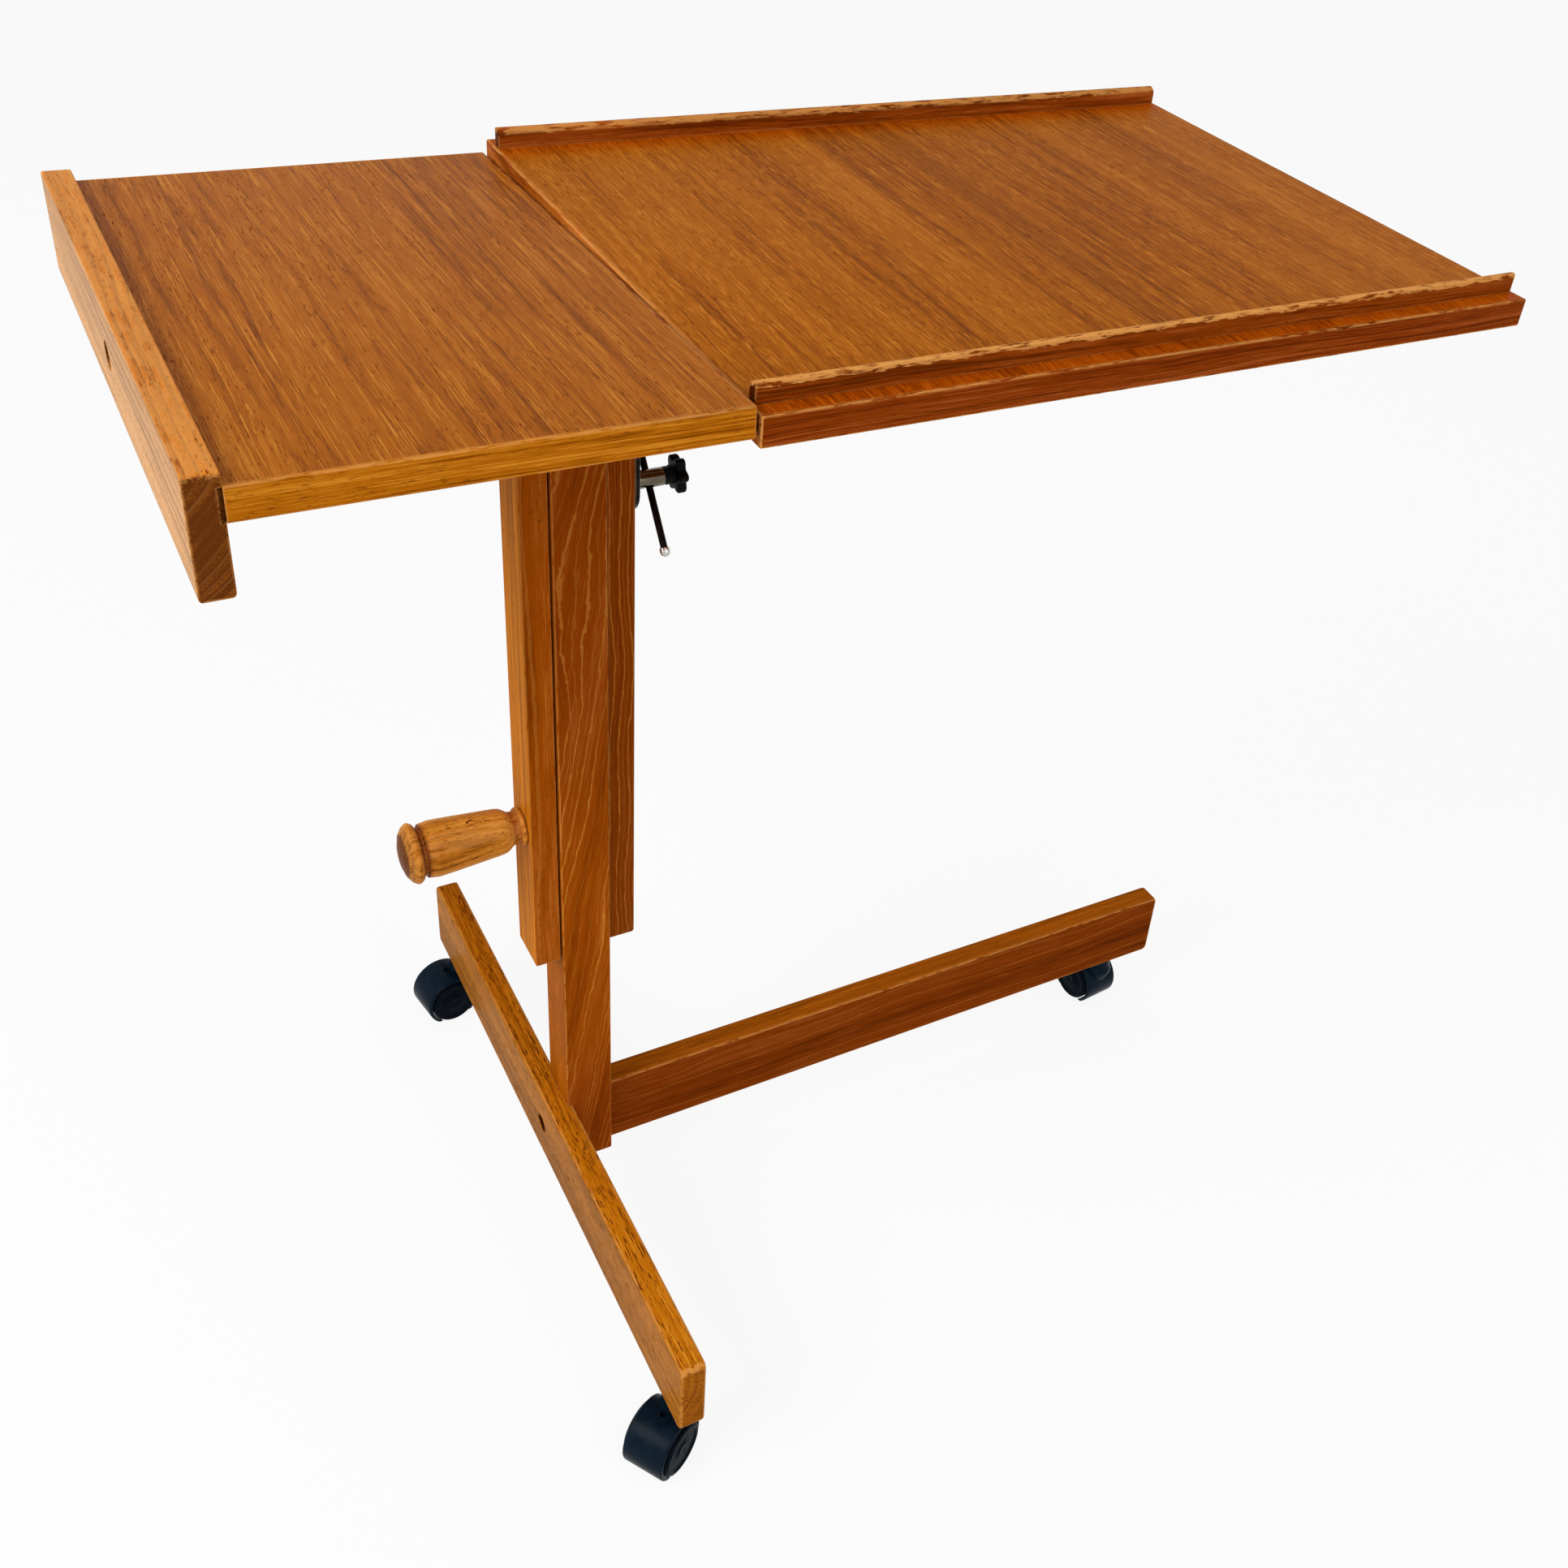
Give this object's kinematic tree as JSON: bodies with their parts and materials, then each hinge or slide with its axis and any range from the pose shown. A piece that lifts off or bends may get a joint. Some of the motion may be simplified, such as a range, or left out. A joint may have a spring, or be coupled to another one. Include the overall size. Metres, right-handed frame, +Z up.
{
  "type": "rolling tray table",
  "caption": "Rolling teak side table: a fixed top and a tilting tray on a post set to height by a turned clamp handle; a rod and star knob hold the tilt.",
  "frame": {"origin": "on the floor, under the middle of the bounding box", "axes": "+Z up, +X from the end board towards the tray's free end, -Y the front, where a person sits"},
  "size_m": [0.8084, 0.5488, 0.8041],
  "materials": {
    "teak_veneer": "satin lacquer over straight-grained teak veneer",
    "teak_solid": "satin lacquer on solid teak",
    "teak_edge": "satin lacquer on solid teak edging",
    "beech": "bare",
    "steel_polished": "polished",
    "steel_zinc": "zinc plated",
    "steel_dark": "dark, worn bright at the edges",
    "plastic_black": "satin moulded plastic",
    "plastic_wheel": "satin moulded plastic"
  },
  "bodies": {
    "base": {"post": "teak_solid", "cross_foot": "teak_solid", "long_foot": "teak_solid", "base_bolt": "steel_zinc", "base_barrel_nut": "steel_zinc", "foot_dowel_lower": "beech", "foot_dowel_upper": "beech", "near_caster_socket": "steel_zinc", "far_caster_socket": "steel_zinc", "long_caster_socket": "steel_zinc"},
    "head": {"fixed_top_board": "teak_veneer", "fixed_top_front_lipping": "teak_edge", "fixed_top_back_lipping": "teak_edge", "fixed_top_right_lipping": "teak_edge", "end_board": "teak_solid", "end_bolt": "steel_zinc", "apron": "teak_solid", "left_rail": "teak_solid", "right_rail": "teak_solid", "rail_spacer": "teak_solid", "tilt_shaft": "steel_polished", "shaft_plug": "plastic_black", "shaft_collar_inner": "steel_zinc", "shaft_collar_outer": "steel_zinc", "stay_plate": "steel_dark", "clamp_bolt": "steel_zinc"},
    "tray": {"tray_board": "teak_veneer", "tray_front_lipping": "teak_edge", "tray_back_lipping": "teak_edge", "tray_right_lipping": "teak_edge", "tray_left_lipping": "teak_edge", "tray_lip_front": "teak_edge", "tray_lip_back": "teak_edge", "tray_bearer_inner": "teak_solid", "tray_bearer_outer": "teak_solid", "stay_bracket": "steel_zinc", "stay_pin": "steel_zinc"},
    "stay_rod": {"stay_rod": "steel_dark", "stay_rod_tip": "steel_polished"},
    "stay_sleeve": {"stay_sleeve": "steel_polished"},
    "star_knob": {"star_knob": "plastic_black", "knob_screw": "steel_zinc"},
    "clamp_handle": {"clamp_handle": "teak_solid", "handle_insert": "steel_zinc"},
    "near_caster": {"near_caster_hood": "plastic_black", "near_caster_stem": "steel_zinc", "near_caster_axle": "steel_zinc"},
    "near_wheel_left": {"near_wheel_left": "plastic_wheel"},
    "near_wheel_right": {"near_wheel_right": "plastic_wheel"},
    "far_caster": {"far_caster_hood": "plastic_black", "far_caster_stem": "steel_zinc", "far_caster_axle": "steel_zinc"},
    "far_wheel_left": {"far_wheel_left": "plastic_wheel"},
    "far_wheel_right": {"far_wheel_right": "plastic_wheel"},
    "long_caster": {"long_caster_hood": "plastic_black", "long_caster_stem": "steel_zinc", "long_caster_axle": "steel_zinc"},
    "long_wheel_left": {"long_wheel_left": "plastic_wheel"},
    "long_wheel_right": {"long_wheel_right": "plastic_wheel"}
  },
  "joints": [
    {"name": "head_height", "type": "slide", "parent": "base", "child": "head", "axis": [0, 0, 1], "range_m": [-0.055, 0.23]},
    {"name": "tray_tilt", "type": "hinge", "parent": "head", "child": "tray", "pos_m": [-0.15875, 0.00236, 0.74583], "axis": [1, 0, 0], "range_deg": [-15, 43]},
    {"name": "stay_sleeve_turn", "type": "hinge", "parent": "head", "child": "stay_sleeve", "pos_m": [-0.15875, 0.00236, 0.63783], "axis": [1, 0, 0], "range_deg": [-8, 21]},
    {"name": "stay_rod_turn", "type": "hinge", "parent": "tray", "child": "stay_rod", "pos_m": [-0.10635, 0.10184, 0.76272], "axis": [1, 0, 0], "range_deg": [-23, 8]},
    {"name": "star_knob_turn", "type": "hinge", "parent": "stay_sleeve", "child": "star_knob", "pos_m": [-0.15875, 0.00236, 0.63783], "axis": [1, 0, 0], "range_deg": [0, 360]},
    {"name": "clamp_handle_turn", "type": "hinge", "parent": "head", "child": "clamp_handle", "pos_m": [-0.19725, 0.00236, 0.38633], "axis": [1, 0, 0], "range_deg": [-360, 0]},
    {"name": "near_caster_swivel", "type": "hinge", "parent": "base", "child": "near_caster", "pos_m": [-0.18225, -0.23964, -0.00017], "axis": [0, 0, 1], "continuous": true},
    {"name": "near_wheel_left_spin", "type": "hinge", "parent": "near_caster", "child": "near_wheel_left", "pos_m": [-0.19582, -0.24812, 0.01983], "axis": [0.5299, -0.848, 0], "continuous": true},
    {"name": "near_wheel_right_spin", "type": "hinge", "parent": "near_caster", "child": "near_wheel_right", "pos_m": [-0.19582, -0.24812, 0.01983], "axis": [0.5299, -0.848, 0], "continuous": true},
    {"name": "far_caster_swivel", "type": "hinge", "parent": "base", "child": "far_caster", "pos_m": [-0.18225, 0.24436, -0.00017], "axis": [0, 0, 1], "continuous": true},
    {"name": "far_wheel_left_spin", "type": "hinge", "parent": "far_caster", "child": "far_wheel_left", "pos_m": [-0.19801, 0.24158, 0.01983], "axis": [0.1736, -0.9848, 0], "continuous": true},
    {"name": "far_wheel_right_spin", "type": "hinge", "parent": "far_caster", "child": "far_wheel_right", "pos_m": [-0.19801, 0.24158, 0.01983], "axis": [0.1736, -0.9848, 0], "continuous": true},
    {"name": "long_caster_swivel", "type": "hinge", "parent": "base", "child": "long_caster", "pos_m": [0.35825, 0.00236, -0.00017], "axis": [0, 0, 1], "continuous": true},
    {"name": "long_wheel_left_spin", "type": "hinge", "parent": "long_caster", "child": "long_wheel_left", "pos_m": [0.35658, 0.01827, 0.01983], "axis": [-0.9945, -0.1045, 0], "continuous": true},
    {"name": "long_wheel_right_spin", "type": "hinge", "parent": "long_caster", "child": "long_wheel_right", "pos_m": [0.35658, 0.01827, 0.01983], "axis": [-0.9945, -0.1045, 0], "continuous": true}
  ],
  "couplings": [
    {"joint": "stay_sleeve_turn", "follows": "tray_tilt", "ratio": 0.4755},
    {"joint": "stay_rod_turn", "follows": "tray_tilt", "ratio": -0.5245}
  ]
}
